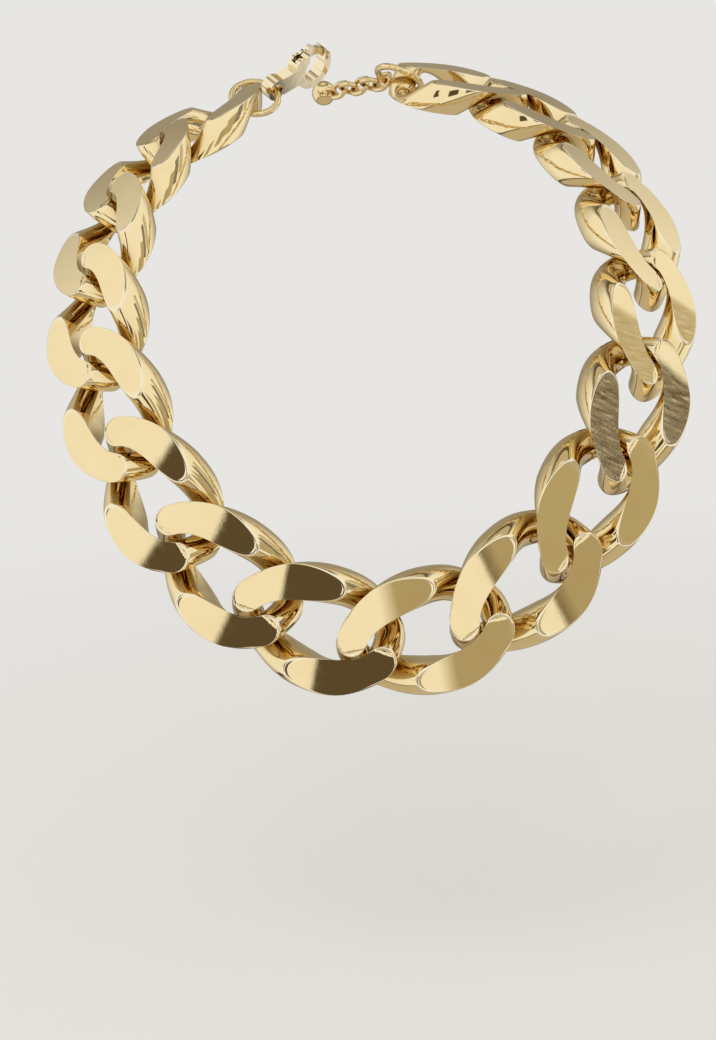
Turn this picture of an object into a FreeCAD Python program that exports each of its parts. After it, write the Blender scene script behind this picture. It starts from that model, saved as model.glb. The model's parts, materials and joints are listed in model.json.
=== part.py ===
"""Chunky curb-link collar necklace, draped as it is worn.

Frame: +X points to the right of somebody facing the wearer, +Y from the front of the neck
to the nape, and +Z up.  The origin is the centre of the neck opening.  Lengths are
millimetres, angles are degrees.  Left and right in names are as that somebody sees them.

The chain runs from the left end at the nape, down over the chest and up again on the
right.  A link's own frame has X along the chain, Y towards the neck opening and Z out of
its polished face.
"""
import FreeCAD, Part
import Sketcher
import math
import os

Vector = FreeCAD.Vector
doc = FreeCAD.newDocument("ChainNecklace")

DIMENSIONS = [
    # the draped loop that the contacts between links lie on
    ("loop_half_width", 75.2),
    ("loop_half_length", 93.8),
    ("loop_taper", -0.08),
    ("loop_sag", -6.6),
    ("loop_slope", 54.0),
    ("face_roll", 34.4),
    ("pitch", 28.0),
    ("front_link_offset", 7.0),
    ("links_each_side", 8),
    # one curb link
    ("link_half_length", 18.5),
    ("link_half_width", 11.4),
    ("link_fullness", 3.0),
    ("link_twist", 55.0),
    ("link_depth", 9.0),
    ("arm_half_width", 4.85),
    ("arm_half_depth", 6.2),
    ("bend_half_width", 3.9),
    ("bend_half_depth", 3.5),
    ("arm_blend", 1.2),
    # end rings
    ("ring_radius", 7.2),
    ("ring_wire", 1.0),
    ("ring_clearance", 0.4),
    # lobster clasp
    ("clasp_thick", 4.0),
    ("eye_radius", 3.5),
    ("eye_bore", 2.1),
    ("eye_offset", 0.5),
    ("neck_width", 6.0),
    ("neck_start", 2.5),
    ("claw_reach", 16.0),
    ("claw_radius", 7.0),
    ("claw_bore", 4.2),
    ("gate_left", 13.6),
    ("gate_reach", 9.8),
    ("nose_drop", 1.0),
    ("lever_gap", 0.2),
    ("lever_thick", 1.6),
    ("slot_thick", 2.1),
    ("pivot_along", 10.6),
    ("pivot_drop", 3.6),
    ("hub_radius", 1.9),
    ("hub_thick", 1.0),
    ("heel_wall", 0.7),
    ("lever_inset", 0.3),
    ("lever_start", 1.5),
    ("tab_radius", 1.14),
    ("tab_along", 14.8),
    ("tab_drop", 7.2),
    ("cut_margin", 1.0),
    ("pin_radius", 0.6),
    ("pin_clearance", 0.06),
    ("spring_radius", 1.0),
    ("spring_wire", 0.14),
    ("spring_pitch", 0.32),
    ("spring_turns", 1.5),
    # extender chain and end drop
    ("extender_links", 5),
    ("extender_lean", 0.8),
    ("oval_half_length", 3.9),
    ("oval_half_width", 2.6),
    ("oval_wire", 0.75),
    ("chain_clearance", 0.15),
    ("drop_radius", 4.0),
    ("drop_eye_radius", 1.7),
    ("drop_eye_wire", 0.55),
]

sheet = doc.addObject("Spreadsheet::Sheet", "Sizes")
for row, (alias, value) in enumerate(DIMENSIONS, start=1):
    sheet.set("A%d" % row, alias)
    sheet.set("B%d" % row, str(value))
    sheet.setAlias("B%d" % row, alias)
doc.recompute()


def size(alias):
    """The value of one driving dimension."""
    return float(sheet.get(alias))


def bind(item, **properties):
    """Bind properties of a document object to formulas on the sheet."""
    for name, formula in properties.items():
        item.setExpression(name, formula)
    return item


# ---------------------------------------------------------------- drape

LOOP_SAMPLES = 4000
WIDEST_STEP = math.pi / 2
HALVINGS = 50


def loop_point(turn):
    """Point of the drape curve; turn is 0 at the front of the chest, in radians."""
    across = size("loop_half_width") * math.sin(turn) * (1 + size("loop_taper") * math.cos(turn))
    along = -size("loop_half_length") * math.cos(turn)
    lift = size("loop_sag") * math.cos(2 * turn)
    slope = math.radians(size("loop_slope"))
    return Vector(across,
                  along * math.cos(slope) - lift * math.sin(slope),
                  along * math.sin(slope) + lift * math.cos(slope))


def turn_after_arc(arc):
    """Turn reached after an arc length from the front of the loop (the arc may be negative)."""
    step = math.copysign(2 * math.pi / LOOP_SAMPLES, arc)
    turn, travelled, here = 0.0, 0.0, loop_point(0.0)
    while travelled < abs(arc):
        turn += step
        there = loop_point(turn)
        travelled += (there - here).Length
        here = there
    return turn


def turn_after_chord(turn, direction):
    """Turn of the next contact, one pitch away in a straight line."""
    start, near, far = loop_point(turn), 0.0, WIDEST_STEP
    for _ in range(HALVINGS):
        middle = (near + far) / 2
        if (loop_point(turn + direction * middle) - start).Length < size("pitch"):
            near = middle
        else:
            far = middle
    return turn + direction * near


def contact_points():
    """Contacts between links; contact k is where link k starts."""
    side = int(size("links_each_side"))
    first = turn_after_arc(size("front_link_offset") - size("pitch") / 2)
    turns = {0: first}
    for k in range(1, side + 2):
        turns[k] = turn_after_chord(turns[k - 1], 1)
    for k in range(-1, -side - 1, -1):
        turns[k] = turn_after_chord(turns[k + 1], -1)
    return {k: loop_point(turn) for k, turn in turns.items()}


def axes_placement(origin, x_axis, y_axis, z_axis):
    """Placement from an origin and three unit axes."""
    matrix = FreeCAD.Matrix(x_axis.x, y_axis.x, z_axis.x, origin.x,
                            x_axis.y, y_axis.y, z_axis.y, origin.y,
                            x_axis.z, y_axis.z, z_axis.z, origin.z,
                            0, 0, 0, 1)
    return FreeCAD.Placement(matrix)


def link_placement(contacts, k):
    """Where link k sits: centred between its contacts, its face rolled outwards."""
    slope = math.radians(size("loop_slope"))
    roll = math.radians(size("face_roll"))
    loop_normal = Vector(0, -math.sin(slope), math.cos(slope))
    along = (contacts[k + 1] - contacts[k]).normalize()
    inward = loop_normal.cross(along).normalize()
    upright = along.cross(inward)
    face = upright * math.cos(roll) - inward * math.sin(roll)
    centre = (contacts[k + 1] + contacts[k]) * 0.5
    return axes_placement(centre, along, face.cross(along), face)


# ---------------------------------------------------------------- curb link

LINK_STATIONS = 48
SECTION_POLES = 12
CENTRELINE_SAMPLES = 4000


def signed_power(value, exponent):
    return math.copysign(abs(value) ** exponent, value)


def link_twist_at(x):
    """Twist of the link about its long axis, in radians."""
    return -math.radians(size("link_twist")) * x / size("link_half_length")


def link_centre(angle):
    """Point of the twisted oval that the middle of the wire follows."""
    power = 2 / size("link_fullness")
    x = size("link_half_length") * signed_power(math.cos(angle), power)
    reach = size("link_half_width") * signed_power(math.sin(angle), power)
    twist = link_twist_at(x)
    return Vector(x, reach * math.cos(twist), reach * math.sin(twist))


def even_angles(count):
    """Angles whose points are evenly spaced along the oval."""
    angles = [2 * math.pi * i / CENTRELINE_SAMPLES for i in range(CENTRELINE_SAMPLES + 1)]
    lengths = [0.0]
    for start, end in zip(angles, angles[1:]):
        lengths.append(lengths[-1] + (link_centre(end) - link_centre(start)).Length)
    chosen, sample = [], 0
    for i in range(count):
        while lengths[sample + 1] < lengths[-1] * i / count:
            sample += 1
        chosen.append(angles[sample])
    return chosen


def section_poles(angle):
    """Poles of the wire's cross-section: broad at the arms, slim at the bends."""
    tiny = 1e-4
    centre = link_centre(angle)
    tangent = (link_centre(angle + tiny) - link_centre(angle - tiny)).normalize()
    twist = link_twist_at(centre.x)
    across = tangent.cross(Vector(0, -math.sin(twist), math.cos(twist))).normalize()
    up = across.cross(tangent)
    share = abs(centre.x / size("link_half_length")) ** size("arm_blend")
    width = size("arm_half_width") * (1 - share) + size("bend_half_width") * share
    depth = size("arm_half_depth") * (1 - share) + size("bend_half_depth") * share
    pole_angles = [2 * math.pi * i / SECTION_POLES for i in range(SECTION_POLES)]
    # a cubic spline runs inside its poles by this factor on a circle
    grow = 3 / (2 + math.cos(2 * math.pi / SECTION_POLES))
    return [centre + across * (width * grow * math.cos(a)) + up * (depth * grow * math.sin(a))
            for a in pole_angles]


def make_link_shape():
    """Twisted ring, polished flat front and back: a periodic surface cut by a slab."""
    poles = [section_poles(angle) for angle in even_angles(LINK_STATIONS)]
    surface = Part.BSplineSurface()
    surface.buildFromPolesMultsKnots(
        poles, [1] * (LINK_STATIONS + 1), [1] * (SECTION_POLES + 1),
        [float(i) for i in range(LINK_STATIONS + 1)], [float(i) for i in range(SECTION_POLES + 1)],
        True, True, 3, 3)
    ring = Part.makeSolid(Part.makeShell([surface.toShape()]))
    if ring.Volume < 0:
        ring.reverse()
    side = 4 * size("link_half_length")
    depth = size("link_depth")
    slab = Part.makeBox(side, side, depth, Vector(-side / 2, -side / 2, -depth / 2))
    return ring.common(slab).Solids[0]


def link_name(k):
    """Name of link k, counted away from the front link."""
    if k == 0:
        return "link_front"
    return "link_%s_%d" % ("right" if k > 0 else "left", abs(k))


def add_links(placements):
    """One solid per link, all alike."""
    shape = make_link_shape()
    links = []
    for k, placement in placements.items():
        link = doc.addObject("Part::Feature", link_name(k))
        link.Shape = shape.copy()
        link.Placement = placement
        links.append(link)
    return links


# ---------------------------------------------------------------- end rings

def ring_centre_reach():
    """Distance from a link's centre to the centre of the ring through its end."""
    inner_wall = size("link_half_length") - size("bend_half_width")
    return inner_wall - size("ring_clearance") - size("ring_wire") + size("ring_radius")


def ring_placement(link_place, end):
    """Ring round the end bend of a link; end is +1 or -1 along the link."""
    twist = -end * math.radians(size("link_twist"))
    normal = Vector(0, math.cos(twist), math.sin(twist))
    outward = Vector(end, 0, 0)
    local = axes_placement(outward * ring_centre_reach(), outward, normal.cross(outward), normal)
    return link_place.multiply(local)


def add_ring(name, placement):
    ring = doc.addObject("Part::Torus", name)
    bind(ring, Radius1="Sizes.ring_radius", Radius2="Sizes.ring_wire")
    ring.Placement = placement
    return ring


# ---------------------------------------------------------------- lobster clasp

def disc(name, radius, height, x="0", y="0", bottom=None):
    """Upright cylinder bound to the sheet, centred on z = 0 unless a bottom is given."""
    item = doc.addObject("Part::Cylinder", name)
    bind(item, Radius=radius, Height=height)
    item.setExpression("Placement.Base.x", x)
    item.setExpression("Placement.Base.y", y)
    item.setExpression("Placement.Base.z", bottom or "-(%s) / 2" % height)
    return item


def block(name, left, right, low, high, height):
    """Box bound to the sheet, centred on z = 0."""
    item = doc.addObject("Part::Box", name)
    bind(item, Length="(%s) - (%s)" % (right, left), Width="(%s) - (%s)" % (high, low), Height=height)
    item.setExpression("Placement.Base.x", left)
    item.setExpression("Placement.Base.y", low)
    item.setExpression("Placement.Base.z", "-(%s) / 2" % height)
    return item


def fused(name, *items):
    result = doc.addObject("Part::MultiFuse", name)
    result.Shapes = list(items)
    result.Refine = True
    return result


def cut(name, base, tool):
    result = doc.addObject("Part::Cut", name)
    result.Base = base
    result.Tool = tool
    return result


def common(name, base, tool):
    result = doc.addObject("Part::Common", name)
    result.Base = base
    result.Tool = tool
    return result


PIVOT_X = "Sizes.pivot_along"
PIVOT_Y = "-Sizes.pivot_drop"
NOSE_Y = "-Sizes.nose_drop"
BELOW_CLAW = "-Sizes.claw_radius - Sizes.cut_margin"
THROUGH = "Sizes.clasp_thick + 2 * Sizes.cut_margin"


def add_clasp_body():
    """Claw, neck and eye in one casting, slotted for the lever."""
    thick = "Sizes.clasp_thick"
    claw = disc("claw_disc", "Sizes.claw_radius", thick, "Sizes.claw_reach")
    neck = block("claw_neck", "Sizes.neck_start", "Sizes.claw_reach", "-Sizes.neck_width / 2",
                 "Sizes.neck_width / 2", thick)
    eye = disc("eye_disc", "Sizes.eye_radius", thick)
    heel = disc("claw_heel", "Sizes.hub_radius + Sizes.heel_wall", thick, PIVOT_X, PIVOT_Y)
    solid = fused("clasp_casting", claw, neck, eye, heel)
    mouth = disc("claw_mouth", "Sizes.claw_bore", THROUGH, "Sizes.claw_reach")
    beyond_claw = "Sizes.claw_reach + Sizes.claw_radius + Sizes.cut_margin"
    below_nose = block("below_nose", "Sizes.gate_left", beyond_claw, BELOW_CLAW, NOSE_Y, THROUGH)
    lever_sweep = disc("lever_sweep", "Sizes.gate_reach", THROUGH, PIVOT_X, PIVOT_Y)
    gate = common("claw_gate", below_nose, lever_sweep)
    slot = block("lever_slot", "Sizes.pivot_along - Sizes.hub_radius - Sizes.lever_gap",
                 "Sizes.gate_left + Sizes.cut_margin", BELOW_CLAW,
                 "-Sizes.pivot_drop + Sizes.hub_radius + Sizes.lever_gap", "Sizes.slot_thick")
    bore = disc("eye_hole", "Sizes.eye_bore", THROUGH)
    pin_hole = disc("pin_hole", "Sizes.pin_radius", THROUGH, PIVOT_X, PIVOT_Y)
    openings = fused("clasp_openings", mouth, gate, slot, bore, pin_hole)
    return cut("clasp_body", solid, openings)


def add_clasp_lever():
    """Spring gate that closes the mouth of the claw, with a thumb tab."""
    thick = "Sizes.lever_thick"
    outer = disc("lever_disc", "Sizes.claw_radius - Sizes.lever_inset", thick, "Sizes.claw_reach")
    inner = disc("lever_mouth", "Sizes.claw_bore + Sizes.lever_inset", THROUGH, "Sizes.claw_reach")
    rim = cut("lever_rim", outer, inner)
    window = block("lever_window", "Sizes.pivot_along + Sizes.lever_start",
                   "Sizes.claw_reach + Sizes.claw_radius",
                   BELOW_CLAW, "-Sizes.nose_drop - Sizes.lever_gap", thick)
    swing = disc("lever_swing", "Sizes.gate_reach - Sizes.lever_gap", thick, PIVOT_X, PIVOT_Y)
    arm = common("lever_arm", common("lever_rim_part", rim, window), swing)
    hub = disc("lever_hub", "Sizes.hub_radius", "Sizes.hub_thick", PIVOT_X, PIVOT_Y,
               "-Sizes.slot_thick / 2 + Sizes.lever_gap / 2")
    tab = disc("lever_tab", "Sizes.tab_radius", thick, "Sizes.tab_along", "-Sizes.tab_drop")
    solid = fused("lever_solid", arm, hub, tab)
    hole = disc("lever_hole", "Sizes.pin_radius + Sizes.pin_clearance", "Sizes.clasp_thick",
                PIVOT_X, PIVOT_Y)
    return cut("clasp_lever", solid, hole)


def add_clasp_pin():
    """Rivet that the lever turns on, flush with both cheeks."""
    return disc("clasp_pin", "Sizes.pin_radius", "Sizes.clasp_thick", PIVOT_X, PIVOT_Y)


def add_clasp_spring():
    """Small torsion coil of square wire round the pin, beside the lever's hub."""
    helix = doc.addObject("Part::Helix", "spring_path")
    bind(helix, Radius="Sizes.spring_radius", Pitch="Sizes.spring_pitch",
         Height="Sizes.spring_pitch * Sizes.spring_turns")
    section = doc.addObject("Part::RegularPolygon", "spring_section")
    section.Polygon = 4
    bind(section, Circumradius="Sizes.spring_wire * sqrt(2)")
    section.setExpression("Placement.Base.x", "Sizes.spring_radius")
    standing = FreeCAD.Rotation(Vector(1, 0, 0), 90)
    sides_level = FreeCAD.Rotation(Vector(0, 0, 1), 45)
    section.Placement.Rotation = standing.multiply(sides_level)
    coil = doc.addObject("Part::Sweep", "clasp_spring")
    coil.Sections = [section]
    coil.Spine = (helix, ["Edge1"])
    coil.Solid = True
    coil.Frenet = True
    return coil


def spring_place_in_clasp():
    """The coil sits between the hub and the far cheek of the slot."""
    hub_top = -size("slot_thick") / 2 + size("lever_gap") / 2 + size("hub_thick")
    bottom = hub_top + size("spring_wire") + size("lever_gap") / 2
    return FreeCAD.Placement(Vector(size("pivot_along"), -size("pivot_drop"), bottom), FreeCAD.Rotation())


def clasp_placement(ring_place):
    """Clasp threaded on a ring by its eye and pointing on past the ring."""
    reach = size("ring_radius") + size("eye_offset")
    outward = Vector(1, 0, 0)
    eye_axis = Vector(0, 1, 0)
    local = axes_placement(outward * reach, outward, eye_axis.cross(outward), eye_axis)
    return ring_place.multiply(local)


def add_clasp(placement):
    body = add_clasp_body()
    lever = add_clasp_lever()
    pin = add_clasp_pin()
    spring = add_clasp_spring()
    doc.recompute()
    body.Placement = placement
    lever.Placement = placement
    for expression in ("Placement.Base.x", "Placement.Base.y", "Placement.Base.z"):
        pin.setExpression(expression, None)
    pin.Placement = placement.multiply(
        FreeCAD.Placement(Vector(size("pivot_along"), -size("pivot_drop"), -size("clasp_thick") / 2),
                          FreeCAD.Rotation()))
    spring.Placement = placement.multiply(spring_place_in_clasp())
    return [body, lever, pin, spring]


# ---------------------------------------------------------------- extender chain

def origin_plane(body, role):
    """One of a body's own origin planes."""
    return [plane for plane in body.Origin.OriginFeatures if plane.Role == role][0]


def plane_sketch(body, name, role):
    sketch = body.newObject("Sketcher::SketchObject", name)
    sketch.AttachmentSupport = (origin_plane(body, role), "")
    sketch.MapMode = "FlatFace"
    return sketch


def add_oval_path(body, name):
    """Closed oval with straight sides along X, tied to the sheet."""
    half_width = size("oval_half_width")
    straight = size("oval_half_length") - half_width
    sketch = plane_sketch(body, name + "_path", "XY_Plane")
    up = Vector(0, 0, 1)
    sketch.addGeometry(Part.LineSegment(Vector(-straight, half_width), Vector(straight, half_width)))
    right = Part.Circle(Vector(straight, 0), up, half_width)
    sketch.addGeometry(Part.ArcOfCircle(right, -math.pi / 2, math.pi / 2))
    sketch.addGeometry(Part.LineSegment(Vector(straight, -half_width), Vector(-straight, -half_width)))
    left = Part.Circle(Vector(-straight, 0), up, half_width)
    sketch.addGeometry(Part.ArcOfCircle(left, math.pi / 2, 3 * math.pi / 2))
    for line_end, line, arc, arc_end in ((2, 0, 1, 2), (1, 2, 1, 1), (2, 2, 3, 2), (1, 0, 3, 1)):
        sketch.addConstraint(Sketcher.Constraint("Tangent", line, line_end, arc, arc_end))
    sketch.addConstraint(Sketcher.Constraint("Horizontal", 0))
    sketch.addConstraint(Sketcher.Constraint("Symmetric", 1, 3, 3, 3, -1, 1))
    sketch.addConstraint(Sketcher.Constraint("Radius", 1, half_width))
    sketch.renameConstraint(sketch.ConstraintCount - 1, "end_radius")
    sketch.addConstraint(Sketcher.Constraint("DistanceX", 3, 3, 1, 3, 2 * straight))
    sketch.renameConstraint(sketch.ConstraintCount - 1, "straight")
    sketch.setExpression("Constraints.end_radius", "Sizes.oval_half_width")
    sketch.setExpression("Constraints.straight", "2 * (Sizes.oval_half_length - Sizes.oval_half_width)")
    return sketch


def add_wire_section(body, name):
    """Round wire section standing on the oval's upper straight side."""
    sketch = plane_sketch(body, name + "_section", "YZ_Plane")
    centre = Vector(size("oval_half_width"), 0)
    sketch.addGeometry(Part.Circle(centre, Vector(0, 0, 1), size("oval_wire")))
    sketch.addConstraint(Sketcher.Constraint("PointOnObject", 0, 3, -1))
    sketch.addConstraint(Sketcher.Constraint("DistanceX", -1, 1, 0, 3, size("oval_half_width")))
    sketch.renameConstraint(1, "reach")
    sketch.addConstraint(Sketcher.Constraint("Radius", 0, size("oval_wire")))
    sketch.renameConstraint(2, "wire")
    sketch.setExpression("Constraints.reach", "Sizes.oval_half_width")
    sketch.setExpression("Constraints.wire", "Sizes.oval_wire")
    return sketch


def add_oval_link(name, placement):
    """One oval link of the extender chain, swept from round wire."""
    body = doc.addObject("PartDesign::Body", name)
    path = add_oval_path(body, name)
    section = add_wire_section(body, name)
    pipe = body.newObject("PartDesign::AdditivePipe", name + "_pipe")
    pipe.Profile = section
    pipe.Spine = path
    body.Placement = placement
    return body


def hanging_start(ring_place):
    """Where the extender hangs from a ring: point, wire direction and hanging direction."""
    outward = ring_place.Rotation.multVec(Vector(1, 0, 0))
    normal = ring_place.Rotation.multVec(Vector(0, 0, 1))
    leaning = Vector(0, 0, -1) + outward * size("extender_lean")
    hanging = (leaning - normal * leaning.dot(normal)).normalize()
    return ring_place.Base + hanging * size("ring_radius"), normal.cross(hanging), hanging


def add_extender(ring_place):
    """Oval links hanging from a ring, each a quarter turn from the last, and the drop."""
    start, normal, hanging = hanging_start(ring_place)
    overlap = size("ring_wire") + size("oval_wire") + size("chain_clearance")
    pitch = 2 * size("oval_half_length") - 2 * size("oval_wire") - size("chain_clearance")
    centre = start + hanging * (size("oval_half_length") - overlap)
    pieces = []
    for number in range(1, int(size("extender_links")) + 1):
        placement = axes_placement(centre, hanging, normal.cross(hanging), normal)
        pieces.append(add_oval_link("extender_link_%d" % number, placement))
        last_end = centre + hanging * size("oval_half_length")
        centre = centre + hanging * pitch
        normal = normal.cross(hanging)
    pieces.append(add_drop(last_end, hanging, normal))
    return pieces


def add_drop(last_end, hanging, normal):
    """Polished ball with an eye, closing the extender chain."""
    eye = doc.addObject("Part::Torus", "drop_eye")
    bind(eye, Radius1="Sizes.drop_eye_radius", Radius2="Sizes.drop_eye_wire")
    ball = doc.addObject("Part::Sphere", "drop_ball")
    bind(ball, Radius="Sizes.drop_radius")
    reach = "Sizes.drop_eye_radius + Sizes.drop_radius - Sizes.drop_eye_wire / 2"
    ball.setExpression("Placement.Base.x", reach)
    drop = fused("end_drop", eye, ball)
    doc.recompute()
    slack = size("drop_eye_radius") - size("drop_eye_wire") - size("oval_wire") - size("chain_clearance")
    drop.Placement = axes_placement(last_end + hanging * slack, hanging, normal.cross(hanging), normal)
    return drop


# ---------------------------------------------------------------- assembly

def build_necklace():
    side = int(size("links_each_side"))
    contacts = contact_points()
    placements = {k: link_placement(contacts, k) for k in range(-side, side + 1)}
    parts = add_links(placements)
    left_ring = ring_placement(placements[-side], -1)
    right_ring = ring_placement(placements[side], 1)
    parts.append(add_ring("ring_left", left_ring))
    parts.append(add_ring("ring_right", right_ring))
    parts.extend(add_clasp(clasp_placement(left_ring)))
    parts.extend(add_extender(right_ring))
    return parts


def check_document():
    """Stop if any object failed to compute."""
    for item in doc.Objects:
        if "Invalid" in item.State or "Error" in item.State:
            raise RuntimeError("%s failed: %s" % (item.Name, item.State))


def export_parts(parts):
    """Write each piece to its own STEP file, named by its label."""
    os.makedirs("parts", exist_ok=True)
    for part in parts:
        part.Label = part.Name
        shape = part.Shape
        if shape.isNull() or not shape.isValid() or len(shape.Solids) != 1:
            raise RuntimeError("%s is not one valid solid" % part.Name)
        shape.exportStep("parts/%s.step" % part.Label)


necklace = build_necklace()
doc.recompute()
check_document()
export_parts(necklace)
print("pieces written:", len(necklace))
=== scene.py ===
"""Looks of the chunky curb-link collar necklace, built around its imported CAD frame.

Metres, in the CAD frame: +X to the right of somebody facing the wearer, +Y from the front of
the neck to the nape, +Z up, origin at the centre of the neck opening.
"""

import json
import math

import bmesh
import bpy
import numpy as np
from mathutils import Matrix, Vector


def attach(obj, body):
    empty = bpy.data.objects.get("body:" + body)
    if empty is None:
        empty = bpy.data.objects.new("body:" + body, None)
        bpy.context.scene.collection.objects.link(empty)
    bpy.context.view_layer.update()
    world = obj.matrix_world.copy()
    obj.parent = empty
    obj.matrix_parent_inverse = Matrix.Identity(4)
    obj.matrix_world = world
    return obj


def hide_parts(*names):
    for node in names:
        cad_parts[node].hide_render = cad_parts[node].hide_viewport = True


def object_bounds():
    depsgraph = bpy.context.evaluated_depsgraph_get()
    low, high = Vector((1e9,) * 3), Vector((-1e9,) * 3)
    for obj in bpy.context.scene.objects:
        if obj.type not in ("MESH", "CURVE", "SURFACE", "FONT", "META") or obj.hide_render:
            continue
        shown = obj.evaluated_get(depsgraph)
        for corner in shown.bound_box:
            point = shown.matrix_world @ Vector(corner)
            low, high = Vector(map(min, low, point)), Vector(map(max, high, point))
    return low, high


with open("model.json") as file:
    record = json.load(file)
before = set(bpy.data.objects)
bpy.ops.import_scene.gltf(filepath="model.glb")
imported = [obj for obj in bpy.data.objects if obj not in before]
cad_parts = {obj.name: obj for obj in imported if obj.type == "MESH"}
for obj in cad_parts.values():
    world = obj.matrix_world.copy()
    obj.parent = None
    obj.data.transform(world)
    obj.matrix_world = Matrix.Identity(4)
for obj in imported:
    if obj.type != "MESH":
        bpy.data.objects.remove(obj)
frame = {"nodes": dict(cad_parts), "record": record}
cad_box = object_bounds()

MM = 0.001

# the curb link, in millimetres: the same form as its CAD solid
LINK_HALF_LENGTH = 18.5
LINK_HALF_WIDTH = 11.4
LINK_FULLNESS = 3.0
LINK_TWIST = math.radians(55)
LINK_HALF_DEPTH = 4.5
ARM_HALF_WIDTH = 4.85
ARM_HALF_DEPTH = 6.2
BEND_HALF_WIDTH = 3.9
BEND_HALF_DEPTH = 3.5
ARM_BLEND = 1.2

# what only the looks have, in millimetres: rounded facet edges, a skin just inside the CAD
# surface, and a crown on each facet, with where along the link it is highest and how far from
# there it has fallen by its full depth
EDGE_ROUND = 0.4
SKIN_INSET = 0.03
FACE_CROWN = 0.5
FACE_MIDDLE = 8.0
CROWN_REACH = 15.0

# how finely the link's mesh is worked out
LINK_STATIONS = 320
LINK_SIDES = 112
OVAL_SAMPLES = 20001
TINY_ANGLE = 1e-4
# a face of a CAD link is part of its flats when its normal agrees with theirs this closely
FLAT_AGREEMENT = 0.999

# values that the link mesh carries for its material: own coordinates in metres, and edge wear, which
# also paints a highlight along each facet's edge
LINK_PLACE = "link_place"
LINK_WEAR_AND_HIGHLIGHT = "edge_wear_and_highlight"

# findings: points closer than this are one, in metres; edges sharper than this stay sharp
WELD_GAP = 1e-6
SHARP_ANGLE = math.radians(32)

# material slots, as the record names them
LINK_SLOT = "plated_link"
FINDING_SLOT = "plated_finding"
SPRING_SLOT = "spring_steel"
SPRING_NODE = "clasp_spring"

# gold plating: colours of the body, of the painted shade in the crevices and of the worn edges with
# their painted highlight, then least and most roughness
LINK_TONES = ((0.95, 0.79, 0.475), (0.52, 0.33, 0.085), (0.99, 0.93, 0.78))
LINK_ROUGHNESS = (0.015, 0.06)
FINDING_TONES = ((0.92, 0.74, 0.42), (0.55, 0.36, 0.11), (0.98, 0.89, 0.68))
FINDING_ROUGHNESS = (0.06, 0.14)
# gold between pale and deep, for slow changes over a face
MELLOW_GOLD = (0.88, 0.68, 0.34)
MELLOW_SHARE = 0.25
# share of the worn colour on the edges, which also paints a highlight along them
WORN_HIGHLIGHT_SHARE = 0.7
# where on the mesh's pointiness an edge begins and is fully worn; the worn colour there is also a
# painted highlight
EDGE_BAND = (0.52, 0.62)
# how open a place is to its surroundings, for the painted shade in the crevices: fully a crevice up to
# the first, open from the second
CREVICE_SHADE_BAND = (0.25, 0.85)
CREVICE_REACH = 7.0
CREVICE_RAYS = 6

# how many finer layers of detail a noise has on top of its features
SMOOTH_DETAIL = 1.0
PLAIN_DETAIL = 2.0
GRAIN_DETAIL = 3.0
FINE_DETAIL = 4.0

# marks on the gold, in millimetres, and the band of each noise that is spread to its full range
CLOUD_SIZE = 9.0
CLOUD_BAND = (0.35, 0.65)
SMEAR_SIZE = 2.2
SMEAR_BAND = (0.35, 0.75)
SWELL_SIZE = 7.0
SWELL_HEIGHT = 0.008
PEEL_SIZE = 0.45
PEEL_HEIGHT = 0.0014
HAIRLINE_SIZE = 0.09
HAIRLINE_HEIGHT = 0.0003
# hairlines run along X: places are scaled by this before the noise, which draws it out there
HAIRLINE_STRETCH = (0.05, 1.0, 1.0)

# spring steel
STEEL_DIM = (0.52, 0.52, 0.53)
STEEL_BRIGHT = (0.72, 0.72, 0.73)
STEEL_ROUGHNESS = (0.22, 0.42)
SCRATCH_SIZE = 0.08
SCRATCH_BAND = (0.3, 0.7)
SCRATCH_HEIGHT = 0.004

# floor, in metres; the gap leaves room for a side of the chain to swing down to its limits
FLOOR_PAINT = (0.84, 0.83, 0.81)
FLOOR_ROUGHNESS = 0.9
FLOOR_GAP = 0.074
FLOOR_REACH = 40.0
FADE_START = 0.2
FADE_END = 0.7

# camera: where the photographer stood, and how the camera was tipped
CAMERA_PLACE = Vector((-0.0076, -0.3642, 0.0071))
CAMERA_DIVE = math.radians(9.9)
CAMERA_ROLL = math.radians(4.4)
CAMERA_WIDE_FIELD = math.radians(30.8)
CAMERA_NEAREST = 0.01
PICTURE_TALL = 1040 / 716

# soft boxes, all pointing at the origin; metres and watts
LAMP_COLOUR = (1.0, 0.96, 0.9)
LAMPS = [
    # name, place, width, height, power
    ("key_left", (-0.45, -0.35, 0.75), 0.6, 0.6, 1.6),
    ("fill_right", (0.7, -0.3, 0.5), 0.8, 0.6, 0.5),
]

# studio, as the gold reflects it; turns are from the front towards +X, in degrees
BACKDROP = (0.80, 0.79, 0.77)
CREAM = (0.94, 0.93, 0.89)
BACK_WALL = (0.34, 0.31, 0.25)
BACK_WALL_START = 108
BACK_WALL_FULL = 158
SOFT_GOLD = (0.45, 0.385, 0.25)
OLIVE = (0.48, 0.42, 0.275)
FLOOR_GLOW = (0.54, 0.48, 0.37)
SHADE = (0.105, 0.079, 0.046)
DARK = (0.05, 0.042, 0.035)
# screens standing in front of the cream wall
SCREENS = [
    # turn, half width, height, half height, softness, colour
    (-56, 4.0, 9, 12, 0.8, SHADE),
    (-36, 5.0, -3, 11, 0.8, SHADE),
    (-12, 8.0, -11, 10, 0.8, SHADE),
    (13, 5.0, -12, 10, 3.0, SOFT_GOLD),
    (34, 1.0, -8, 10, 0.8, SHADE),
    (41, 6.0, -8, 10, 3.0, SOFT_GOLD),
    (56, 9.0, 2, 13, 2.0, OLIVE),
    (72, 6.5, 14, 14, 1.0, SHADE),
    (89, 6.5, 20, 14, 1.0, OLIVE),
]
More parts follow.
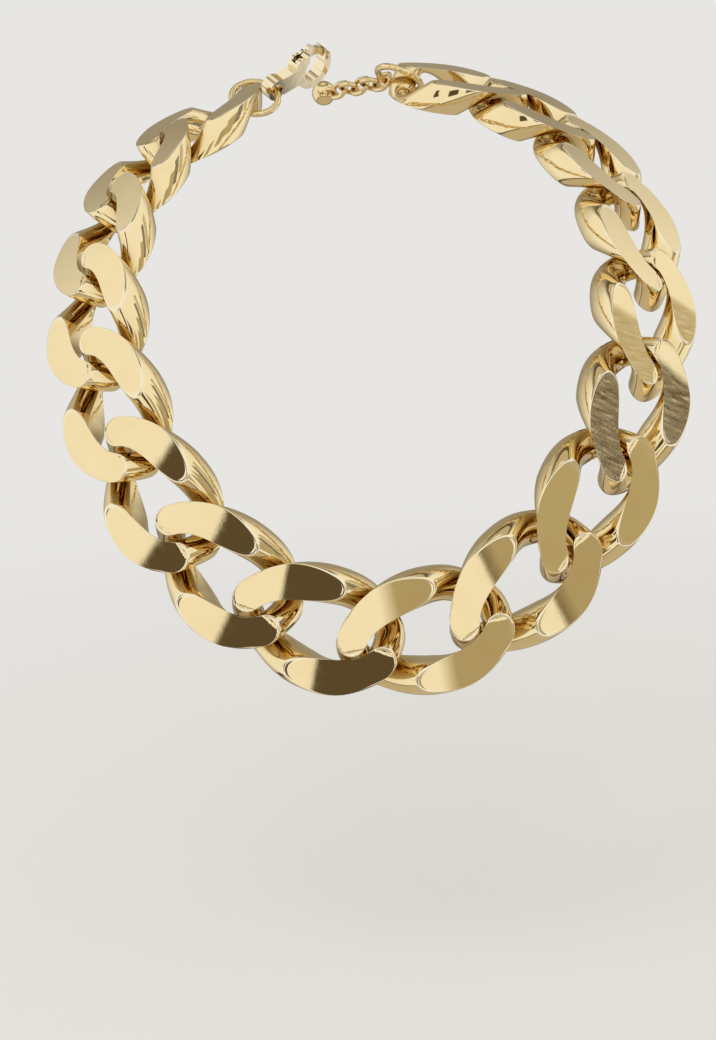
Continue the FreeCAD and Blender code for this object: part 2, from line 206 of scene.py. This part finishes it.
# walls and what lies above and below them: where each begins, its colour (None for the walls)
# and how softly it starts
HEIGHT_BANDS = [
    (-90, FLOOR_GLOW, 1), (-38, DARK, 4), (-33, None, 1),
    (52, SHADE, 8), (62, FLOOR_GLOW, 1), (75, CREAM, 8),
]
# bright grains on part of the wall: turn, half width, height, half height and softness of that
# part, then each grain's width and height, all in degrees
SPECKLE = (80, 15, 17, 14, 4.0)
GRAIN_TURN = 0.2
GRAIN_HEIGHT = 0.45
GRAIN_BAND = (0.5, 0.62)
GRAIN_STRENGTH = 0.8


# ---------------------------------------------------------------- node materials

def new_material(name):
    """An empty node material, its node tree and its Principled shader."""
    material = bpy.data.materials.new(name)
    material.use_nodes = True
    shader = material.node_tree.nodes["Principled BSDF"]
    return material, material.node_tree, shader


def add_node(tree, kind, **settings):
    """Add a node; settings are input names (spaces as underscores) or node properties."""
    node = tree.nodes.new(kind)
    for key, value in settings.items():
        title = key.replace("_", " ").title()
        if title in node.inputs:
            node.inputs[title].default_value = value
        else:
            setattr(node, key, value)
    return node


def mesh_value(tree, name, output):
    """A value stored on the mesh, as "Fac" or "Vector"."""
    return add_node(tree, "ShaderNodeAttribute", attribute_name=name).outputs[output]


def varied_place(tree, mesh_place=None):
    """Places on a piece, pushed apart so that no two pieces share a pattern."""
    if mesh_place:
        place = mesh_value(tree, mesh_place, "Vector")
    else:
        place = add_node(tree, "ShaderNodeTexCoord").outputs["Object"]
    info = add_node(tree, "ShaderNodeObjectInfo")
    shift = add_node(tree, "ShaderNodeVectorMath", operation="ADD")
    tree.links.new(place, shift.inputs[0])
    tree.links.new(info.outputs["Random"], shift.inputs[1])
    return shift.outputs[0]


def stretched(tree, place, factors):
    """The same places scaled by a factor along each axis."""
    scale = add_node(tree, "ShaderNodeVectorMath", operation="MULTIPLY")
    scale.inputs[1].default_value = factors
    tree.links.new(place, scale.inputs[0])
    return scale.outputs[0]


def noise(tree, place, feature_mm, detail=PLAIN_DETAIL):
    """Noise whose features are about this many millimetres across."""
    texture = add_node(tree, "ShaderNodeTexNoise", scale=1 / (feature_mm * MM), detail=detail)
    tree.links.new(place, texture.inputs["Vector"])
    return texture.outputs["Fac"]


def ramp(tree, source, low, high, low_value=0.0, high_value=1.0):
    """Map the source's low..high to low_value..high_value, held at both ends."""
    remap = add_node(tree, "ShaderNodeMapRange", from_min=low, from_max=high,
                     to_min=low_value, to_max=high_value)
    tree.links.new(source, remap.inputs["Value"])
    return remap.outputs["Result"]


def maths(tree, operation, first, second=None):
    """A maths node on sockets or numbers."""
    node = add_node(tree, "ShaderNodeMath", operation=operation)
    for socket, value in zip(node.inputs, (first, second)):
        if isinstance(value, (int, float)):
            socket.default_value = value
        elif value is not None:
            tree.links.new(value, socket)
    return node.outputs[0]


def mix_colours(tree, share, first, second):
    """Blend two colours, each a tuple or a socket."""
    mix = add_node(tree, "ShaderNodeMix", data_type="RGBA")
    tree.links.new(share, mix.inputs["Factor"])
    # a mix node keeps its two colour inputs at 6 and 7 and its colour output at 2
    for socket, colour in ((mix.inputs[6], first), (mix.inputs[7], second)):
        if isinstance(colour, tuple):
            socket.default_value = colour + (1.0,)
        else:
            tree.links.new(colour, socket)
    return mix.outputs[2]


def add_bump(tree, shader, layers):
    """Stack bump layers; each is (height socket, height in millimetres)."""
    normal = None
    for height, depth_mm in layers:
        bump = add_node(tree, "ShaderNodeBump", distance=depth_mm * MM, strength=1.0)
        tree.links.new(height, bump.inputs["Height"])
        if normal is not None:
            tree.links.new(normal, bump.inputs["Normal"])
        normal = bump.outputs["Normal"]
    tree.links.new(normal, shader.inputs["Normal"])


def edge_wear_and_highlight_share(tree):
    """1 on outward edges and 0 elsewhere, from the mesh's pointiness: where wear and a painted
    highlight go.
    """
    geometry = add_node(tree, "ShaderNodeNewGeometry")
    return ramp(tree, geometry.outputs["Pointiness"], *EDGE_BAND)


def crevice_shade_share(tree):
    """Painted shade: 1 deep between pieces and 0 in the open, from ambient occlusion."""
    occlusion = add_node(tree, "ShaderNodeAmbientOcclusion", distance=CREVICE_REACH * MM,
                         samples=CREVICE_RAYS)
    return ramp(tree, occlusion.outputs["AO"], *CREVICE_SHADE_BAND, 1.0, 0.0)


def gold_colour(tree, place, tones, wear_and_highlight):
    """Pale gold with mellow clouds, painted shade in the crevices, and worn edges that also carry a
    painted highlight.
    """
    pale, crevice_shade, worn_highlight = tones
    clouds = ramp(tree, noise(tree, place, CLOUD_SIZE), *CLOUD_BAND, 0.0, MELLOW_SHARE)
    body = mix_colours(tree, clouds, pale, MELLOW_GOLD)
    # painted shade: the crevice colour where ambient occlusion finds little open space
    shaded = mix_colours(tree, crevice_shade_share(tree), body, crevice_shade)
    # worn colour on the edges: wear and a painted highlight
    return mix_colours(tree, ramp(tree, wear_and_highlight, 0.0, 1.0, 0.0, WORN_HIGHLIGHT_SHARE), shaded, worn_highlight)


def gold_relief(tree, place):
    """Bump layers of gold plating: a slow swell, orange peel and hairlines."""
    swell = noise(tree, place, SWELL_SIZE, SMOOTH_DETAIL)
    peel = noise(tree, place, PEEL_SIZE)
    hairlines = noise(tree, stretched(tree, place, HAIRLINE_STRETCH), HAIRLINE_SIZE)
    return [(swell, SWELL_HEIGHT), (peel, PEEL_HEIGHT), (hairlines, HAIRLINE_HEIGHT)]


def gold_plate(name, tones, roughness, own_place=None, own_wear_and_highlight=None):
    """Polished gold plating; the two optional names are of values stored on the mesh: its own
    coordinates, and edge wear that also paints a highlight.
    """
    material, tree, shader = new_material(name)
    place = varied_place(tree, own_place)
    # edge wear, which also paints a highlight along the edges
    wear_and_highlight = mesh_value(tree, own_wear_and_highlight, "Fac") if own_wear_and_highlight else edge_wear_and_highlight_share(tree)
    smears = ramp(tree, noise(tree, place, SMEAR_SIZE, FINE_DETAIL), *SMEAR_BAND, *roughness)
    tree.links.new(gold_colour(tree, place, tones, wear_and_highlight), shader.inputs["Base Color"])
    tree.links.new(smears, shader.inputs["Roughness"])
    shader.inputs["Metallic"].default_value = 1.0
    add_bump(tree, shader, gold_relief(tree, place))
    return material


def spring_steel():
    """Drawn steel wire with fine scratches."""
    material, tree, shader = new_material("spring_steel")
    scratches = noise(tree, varied_place(tree), SCRATCH_SIZE, FINE_DETAIL)
    colour = mix_colours(tree, ramp(tree, scratches, *SCRATCH_BAND), STEEL_DIM, STEEL_BRIGHT)
    roughness = ramp(tree, scratches, *SCRATCH_BAND, *STEEL_ROUGHNESS)
    tree.links.new(colour, shader.inputs["Base Color"])
    tree.links.new(roughness, shader.inputs["Roughness"])
    shader.inputs["Metallic"].default_value = 1.0
    add_bump(tree, shader, [(scratches, SCRATCH_HEIGHT)])
    return material


# ---------------------------------------------------------------- the link's mesh

def signed_power(value, exponent):
    return np.sign(value) * np.abs(value) ** exponent


def unit(vectors):
    return vectors / np.linalg.norm(vectors, axis=-1, keepdims=True)


def link_twist_at(x):
    """Twist of the link about its long axis, in radians."""
    return -LINK_TWIST * x / LINK_HALF_LENGTH


def oval_point(angle):
    """Points of the twisted oval that the middle of the wire follows, in millimetres."""
    power = 2 / LINK_FULLNESS
    x = LINK_HALF_LENGTH * signed_power(np.cos(angle), power)
    reach = LINK_HALF_WIDTH * signed_power(np.sin(angle), power)
    twist = link_twist_at(x)
    return np.stack([x, reach * np.cos(twist), reach * np.sin(twist)], axis=-1)


def even_angles(count):
    """Angles whose points are evenly spaced along the oval."""
    fine = np.linspace(0, 2 * np.pi, OVAL_SAMPLES)
    steps = np.linalg.norm(np.diff(oval_point(fine), axis=0), axis=1)
    travelled = np.concatenate([[0], np.cumsum(steps)])
    return np.interp(np.arange(count) / count * travelled[-1], travelled, fine)


def wire_axes(angle, centre):
    """Directions across and up the wire's section at each station."""
    tangent = unit(oval_point(angle + TINY_ANGLE) - oval_point(angle - TINY_ANGLE))
    twist = link_twist_at(centre[:, 0])
    face = np.stack([np.zeros_like(twist), -np.sin(twist), np.cos(twist)], axis=-1)
    across = unit(np.cross(tangent, face))
    return across, np.cross(across, tangent)


def wire_rings():
    """Points of the uncut twisted wire: stations along it by sides around it."""
    angle = even_angles(LINK_STATIONS)
    centre = oval_point(angle)
    across, up = wire_axes(angle, centre)
    share = np.abs(centre[:, 0] / LINK_HALF_LENGTH) ** ARM_BLEND
    width = ARM_HALF_WIDTH * (1 - share) + BEND_HALF_WIDTH * share - SKIN_INSET
    depth = ARM_HALF_DEPTH * (1 - share) + BEND_HALF_DEPTH * share - SKIN_INSET
    around = 2 * np.pi * np.arange(LINK_SIDES) / LINK_SIDES
    sideways = width[:, None, None] * np.cos(around)[None, :, None] * across[:, None, :]
    upwards = depth[:, None, None] * np.sin(around)[None, :, None] * up[:, None, :]
    return centre[:, None, :] + sideways + upwards


def face_crown(points):
    """How far each facet falls away from its highest place, towards both ends."""
    highest = -FACE_MIDDLE * np.sign(points[..., 1]) * np.sign(points[..., 2])
    along = np.clip((points[..., 0] - highest) / CROWN_REACH, -1, 1)
    return FACE_CROWN * along ** 2


def polish_flat(points):
    """Flatten both faces at the link's half depth, with a small round along each facet's edge."""
    level = LINK_HALF_DEPTH - SKIN_INSET
    height = np.abs(points[..., 2])
    over = np.clip(height - (level - EDGE_ROUND), 0, 2 * EDGE_ROUND)
    # a parabola that joins the wire's side and the facet without a kink at either
    rounded = level - EDGE_ROUND + over - over ** 2 / (4 * EDGE_ROUND)
    lowered = np.where(height > level - EDGE_ROUND, rounded, height)
    flat_share = over / (2 * EDGE_ROUND)
    result = points.copy()
    result[..., 2] = np.sign(points[..., 2]) * (lowered - face_crown(points) * flat_share)
    return result


def facet_wear_and_highlight(points):
    """1 along each facet's edge, falling to 0 across the rounding on both sides of it: edge wear and a
    painted highlight.
    """
    from_edge = np.abs(np.abs(points[..., 2]) - (LINK_HALF_DEPTH - SKIN_INSET))
    return np.clip(1 - from_edge / (2 * EDGE_ROUND), 0, 1)


def ring_faces():
    """Quads joining every station of the wire to the next, all the way round."""
    faces = []
    for i in range(LINK_STATIONS):
        after = (i + 1) % LINK_STATIONS
        for j in range(LINK_SIDES):
            beside = (j + 1) % LINK_SIDES
            faces.append((i * LINK_SIDES + j, after * LINK_SIDES + j,
                          after * LINK_SIDES + beside, i * LINK_SIDES + beside))
    return faces


def link_mesh():
    """One closed quad mesh for every link, in the link's own frame."""
    uncut = wire_rings()
    points = polish_flat(uncut) * MM
    mesh = bpy.data.meshes.new("curb_link")
    mesh.from_pydata([tuple(point) for point in points.reshape(-1, 3)], [], ring_faces())
    mesh.polygons.foreach_set("use_smooth", [True] * len(mesh.polygons))
    place = mesh.attributes.new(LINK_PLACE, "FLOAT_VECTOR", "POINT")
    place.data.foreach_set("vector", points.ravel())
    # edge wear, also a painted highlight along each facet's edge
    wear_and_highlight = mesh.attributes.new(LINK_WEAR_AND_HIGHLIGHT, "FLOAT", "POINT")
    wear_and_highlight.data.foreach_set("value", facet_wear_and_highlight(uncut).ravel())
    mesh.update()
    return mesh


# ---------------------------------------------------------------- pieces on the CAD frame

def face_values(mesh, name, width):
    """A property of every face of a mesh, as one row of numbers each."""
    values = np.zeros(len(mesh.polygons) * width)
    mesh.polygons.foreach_get(name, values)
    return values.reshape(-1, width)


def link_frame(node):
    """Where a CAD link sits: its middle, its long axis and the normal of its flat faces."""
    mesh = frame["nodes"][node].data
    areas = face_values(mesh, "area", 1)
    normals = face_values(mesh, "normal", 3)
    centres = face_values(mesh, "center", 3)
    middle = (centres * areas).sum(0) / areas.sum()
    spread = centres - middle
    _, axes = np.linalg.eigh((spread * areas).T @ spread)
    thin_axis, long_axis = axes[:, 0], axes[:, 2]
    flat = np.abs(normals @ thin_axis) > FLAT_AGREEMENT
    same_side = normals[flat] * np.sign(normals[flat] @ thin_axis)[:, None]
    face = unit((same_side * areas[flat]).sum(0))
    long_axis = unit(long_axis - face * (long_axis @ face))
    return Vector(middle), Vector(long_axis), Vector(face)


def placed(middle, x_axis, z_axis):
    """Matrix from a point and two axes at right angles."""
    y_axis = z_axis.cross(x_axis)
    rows = [(x_axis[i], y_axis[i], z_axis[i], middle[i]) for i in range(3)]
    return Matrix(rows + [(0, 0, 0, 1)])


def smooth_mesh(node):
    """A CAD node's surface welded into one mesh, smooth except across its real edges."""
    mesh = frame["nodes"][node].data.copy()
    if "custom_normal" in mesh.attributes:
        mesh.attributes.remove(mesh.attributes["custom_normal"])
    welded = bmesh.new()
    welded.from_mesh(mesh)
    bmesh.ops.remove_doubles(welded, verts=welded.verts, dist=WELD_GAP)
    for face in welded.faces:
        face.smooth = True
    for edge in welded.edges:
        edge.smooth = edge.calc_face_angle(0.0) < SHARP_ANGLE
    welded.to_mesh(mesh)
    welded.free()
    mesh.materials.clear()
    return mesh


def body_of(node):
    """The body that a CAD node belongs to."""
    bodies = frame["record"]["behaviour"]["bodies"]
    return next(body for body, nodes in bodies.items() if node in nodes)


def add_to_scene(name, data):
    """A new object in the scene."""
    item = bpy.data.objects.new(name, data)
    bpy.context.scene.collection.objects.link(item)
    return item


def add_piece(node, mesh):
    """Stand a mesh in for a CAD node, on the same body."""
    piece = add_to_scene("polished_" + node, mesh)
    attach(piece, body_of(node))
    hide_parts(node)


def add_pieces(link_gold, finding_gold, steel):
    """One piece for every CAD node: own meshes for the links, smoothed copies for the findings."""
    link = link_mesh()
    link.materials.append(link_gold)
    for node in sorted(frame["nodes"]):
        if node.startswith("link_"):
            mesh, slot = link.copy(), LINK_SLOT
            mesh.transform(placed(*link_frame(node)))
        elif node == SPRING_NODE:
            mesh, slot = smooth_mesh(node), SPRING_SLOT
            mesh.materials.append(steel)
        else:
            mesh, slot = smooth_mesh(node), FINDING_SLOT
            mesh.materials.append(finding_gold)
        add_piece(node, mesh)


# ---------------------------------------------------------------- stage

def fade_into_backdrop(tree, shader):
    """Turn a surface into the plain backdrop's glow far from the origin."""
    geometry = add_node(tree, "ShaderNodeNewGeometry")
    away = add_node(tree, "ShaderNodeVectorMath", operation="LENGTH")
    tree.links.new(geometry.outputs["Position"], away.inputs[0])
    glow = add_node(tree, "ShaderNodeEmission", color=BACKDROP + (1.0,))
    fade = add_node(tree, "ShaderNodeMixShader")
    tree.links.new(ramp(tree, away.outputs["Value"], FADE_START, FADE_END), fade.inputs[0])
    tree.links.new(shader.outputs[0], fade.inputs[1])
    tree.links.new(glow.outputs[0], fade.inputs[2])
    tree.links.new(fade.outputs[0], tree.nodes["Material Output"].inputs["Surface"])


def add_floor():
    """Pale floor clear of every pose, fading into the surround so that no horizon shows."""
    material, tree, shader = new_material("floor_paint")
    shader.inputs["Base Color"].default_value = FLOOR_PAINT + (1.0,)
    shader.inputs["Roughness"].default_value = FLOOR_ROUGHNESS
    fade_into_backdrop(tree, shader)
    level = cad_box[0][2] - FLOOR_GAP
    corners = [(x * FLOOR_REACH, y * FLOOR_REACH, level)
               for x, y in ((-1, -1), (1, -1), (1, 1), (-1, 1))]
    mesh = bpy.data.meshes.new("floor")
    mesh.from_pydata(corners, [], [(0, 1, 2, 3)])
    mesh.materials.append(material)
    floor = add_to_scene("floor", mesh)
    floor.visible_glossy = False


def add_soft_light(name, place, width, height, power):
    """Rectangular soft box pointing at the origin, unseen in the gold."""
    light = bpy.data.lights.new(name, "AREA")
    light.shape = "RECTANGLE"
    light.size = width
    light.size_y = height
    light.energy = power
    light.color = LAMP_COLOUR
    lamp = add_to_scene(name, light)
    lamp.location = place
    lamp.rotation_euler = (-Vector(place)).to_track_quat("-Z", "Y").to_euler()
    lamp.visible_glossy = False


def direction_angles(tree):
    """A ray's turn from the front towards +X, and its height, in degrees."""
    place = add_node(tree, "ShaderNodeTexCoord")
    split = add_node(tree, "ShaderNodeSeparateXYZ")
    tree.links.new(place.outputs["Generated"], split.inputs[0])
    front = maths(tree, "MULTIPLY", split.outputs["Y"], -1.0)
    turn = maths(tree, "DEGREES", maths(tree, "ARCTAN2", split.outputs["X"], front))
    height = maths(tree, "DEGREES", maths(tree, "ARCSINE", split.outputs["Z"]))
    return turn, height


def within(tree, value, middle, half, soft):
    """1 within half of the middle, falling to 0 over the soft distance."""
    distance = maths(tree, "ABSOLUTE", maths(tree, "SUBTRACT", value, middle))
    return ramp(tree, distance, half, half + soft, 1.0, 0.0)


def screen_share(tree, turn, height, middle_turn, half_turn, middle_height, half_height, soft):
    """1 on a rectangular screen and 0 off it."""
    return maths(tree, "MULTIPLY", within(tree, turn, middle_turn, half_turn, soft),
                 within(tree, height, middle_height, half_height, soft))


def speckle(tree, turn, height):
    """Fine bright grains on one screen, shaped to look round once a crowned face reflects them."""
    place = add_node(tree, "ShaderNodeCombineXYZ")
    tree.links.new(maths(tree, "DIVIDE", turn, GRAIN_TURN), place.inputs["X"])
    tree.links.new(maths(tree, "DIVIDE", height, GRAIN_HEIGHT), place.inputs["Y"])
    grain = add_node(tree, "ShaderNodeTexNoise", scale=1.0, detail=GRAIN_DETAIL)
    tree.links.new(place.outputs[0], grain.inputs["Vector"])
    near = screen_share(tree, turn, height, *SPECKLE)
    grains = ramp(tree, grain.outputs["Fac"], *GRAIN_BAND, 0.0, GRAIN_STRENGTH)
    return maths(tree, "MULTIPLY", near, grains)


def studio_walls(tree, turn, height):
    """Cream wall, dimmer at the back, with the screens in front of it."""
    behind = ramp(tree, maths(tree, "ABSOLUTE", turn), BACK_WALL_START, BACK_WALL_FULL)
    walls = mix_colours(tree, behind, CREAM, BACK_WALL)
    for *outline, colour in SCREENS:
        walls = mix_colours(tree, screen_share(tree, turn, height, *outline), walls, colour)
    return mix_colours(tree, speckle(tree, turn, height), walls, CREAM)


def add_world():
    """Even pale surround for the eye and the floor; for the gold, a studio of pale and dark screens."""
    world = bpy.data.worlds.new("studio")
    bpy.context.scene.world = world
    world.use_nodes = True
    tree = world.node_tree
    turn, height = direction_angles(tree)
    walls = studio_walls(tree, turn, height)
    studio = HEIGHT_BANDS[0][1]
    for start, colour, soft in HEIGHT_BANDS[1:]:
        share = ramp(tree, height, start, start + soft)
        studio = mix_colours(tree, share, studio, walls if colour is None else colour)
    path = add_node(tree, "ShaderNodeLightPath")
    seen = mix_colours(tree, path.outputs["Is Glossy Ray"], BACKDROP, studio)
    tree.links.new(seen, tree.nodes["Background"].inputs["Color"])


def add_camera():
    """Camera at the photograph's viewing angle, tipped so the picture turns the same way."""
    forward = Vector((0, math.cos(CAMERA_DIVE), -math.sin(CAMERA_DIVE)))
    level_right = Vector((1, 0, 0))
    level_up = level_right.cross(forward)
    right = level_right * math.cos(CAMERA_ROLL) - level_up * math.sin(CAMERA_ROLL)
    data = bpy.data.cameras.new("camera")
    # the lens angle is across the picture's long side, which is its height
    data.angle = 2 * math.atan(math.tan(CAMERA_WIDE_FIELD / 2) * PICTURE_TALL)
    data.clip_start = CAMERA_NEAREST
    camera = add_to_scene("camera", data)
    camera.matrix_world = placed(CAMERA_PLACE, right, -forward)
    bpy.context.scene.camera = camera


bpy.context.scene.view_settings.view_transform = "Standard"
add_pieces(gold_plate("link_gold", LINK_TONES, LINK_ROUGHNESS, LINK_PLACE, LINK_WEAR_AND_HIGHLIGHT),
           gold_plate("finding_gold", FINDING_TONES, FINDING_ROUGHNESS),
           spring_steel())
add_floor()
add_world()
for lamp_settings in LAMPS:
    add_soft_light(*lamp_settings)
add_camera()
